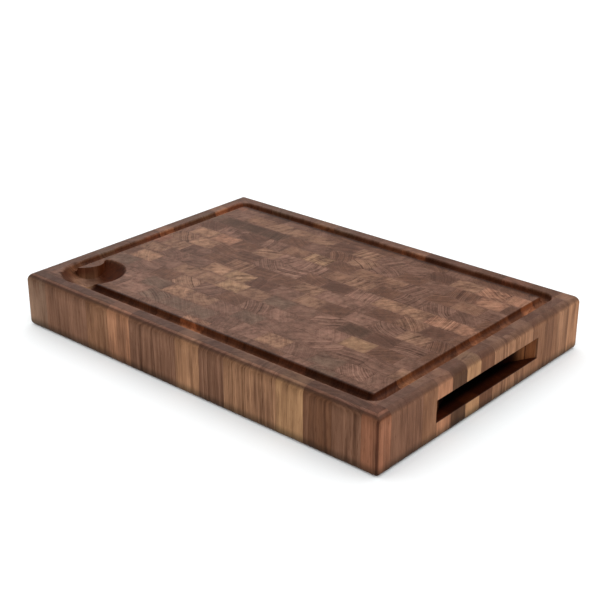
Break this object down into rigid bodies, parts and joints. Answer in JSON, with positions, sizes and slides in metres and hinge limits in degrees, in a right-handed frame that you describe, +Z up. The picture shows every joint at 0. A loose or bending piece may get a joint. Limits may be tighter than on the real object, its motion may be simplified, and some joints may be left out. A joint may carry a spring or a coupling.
{
  "type": "cutting board",
  "caption": "End-grain hardwood cutting board of upright blocks in staggered strips, with a juice groove, a round corner well and a finger pocket in each end face.",
  "frame": {"origin": "centre of the underside, on the surface that the board stands on", "axes": "+X along the length, towards the end away from the well; +Y across the width, towards the back edge; +Z up out of the worktop"},
  "size_m": [0.48, 0.34, 0.06],
  "materials": {
    "end_grain_hardwood": "oiled satin"
  },
  "bodies": {
    "root": {"strip_01_left_end": "end_grain_hardwood", "strip_01_field": "end_grain_hardwood", "strip_01_right_end": "end_grain_hardwood", "strip_02_left_end": "end_grain_hardwood", "strip_02_field": "end_grain_hardwood", "strip_02_right_end": "end_grain_hardwood", "strip_03_left_end": "end_grain_hardwood", "strip_03_field": "end_grain_hardwood", "strip_03_right_end": "end_grain_hardwood", "strip_04_left_end": "end_grain_hardwood", "strip_04_field": "end_grain_hardwood", "strip_04_right_end": "end_grain_hardwood", "strip_05_left_end": "end_grain_hardwood", "strip_05_field": "end_grain_hardwood", "strip_05_right_end": "end_grain_hardwood", "strip_06_left_end": "end_grain_hardwood", "strip_06_field": "end_grain_hardwood", "strip_06_right_end": "end_grain_hardwood", "strip_07_left_end": "end_grain_hardwood", "strip_07_field": "end_grain_hardwood", "strip_07_right_end": "end_grain_hardwood", "strip_08_left_end": "end_grain_hardwood", "strip_08_field": "end_grain_hardwood", "strip_08_right_end": "end_grain_hardwood", "strip_09_left_end": "end_grain_hardwood", "strip_09_field": "end_grain_hardwood", "strip_09_right_end": "end_grain_hardwood", "strip_10_left_end": "end_grain_hardwood", "strip_10_field": "end_grain_hardwood", "strip_10_right_end": "end_grain_hardwood", "strip_11_left_end": "end_grain_hardwood", "strip_11_field": "end_grain_hardwood", "strip_11_right_end": "end_grain_hardwood", "strip_12_left_end": "end_grain_hardwood", "strip_12_field": "end_grain_hardwood", "strip_12_right_end": "end_grain_hardwood", "strip_13_left_end": "end_grain_hardwood", "strip_13_field": "end_grain_hardwood", "strip_13_right_end": "end_grain_hardwood", "strip_14_left_end": "end_grain_hardwood", "strip_14_field": "end_grain_hardwood", "strip_14_right_end": "end_grain_hardwood", "strip_15_left_end": "end_grain_hardwood", "strip_15_field": "end_grain_hardwood", "strip_15_right_end": "end_grain_hardwood"}
  },
  "joints": []
}
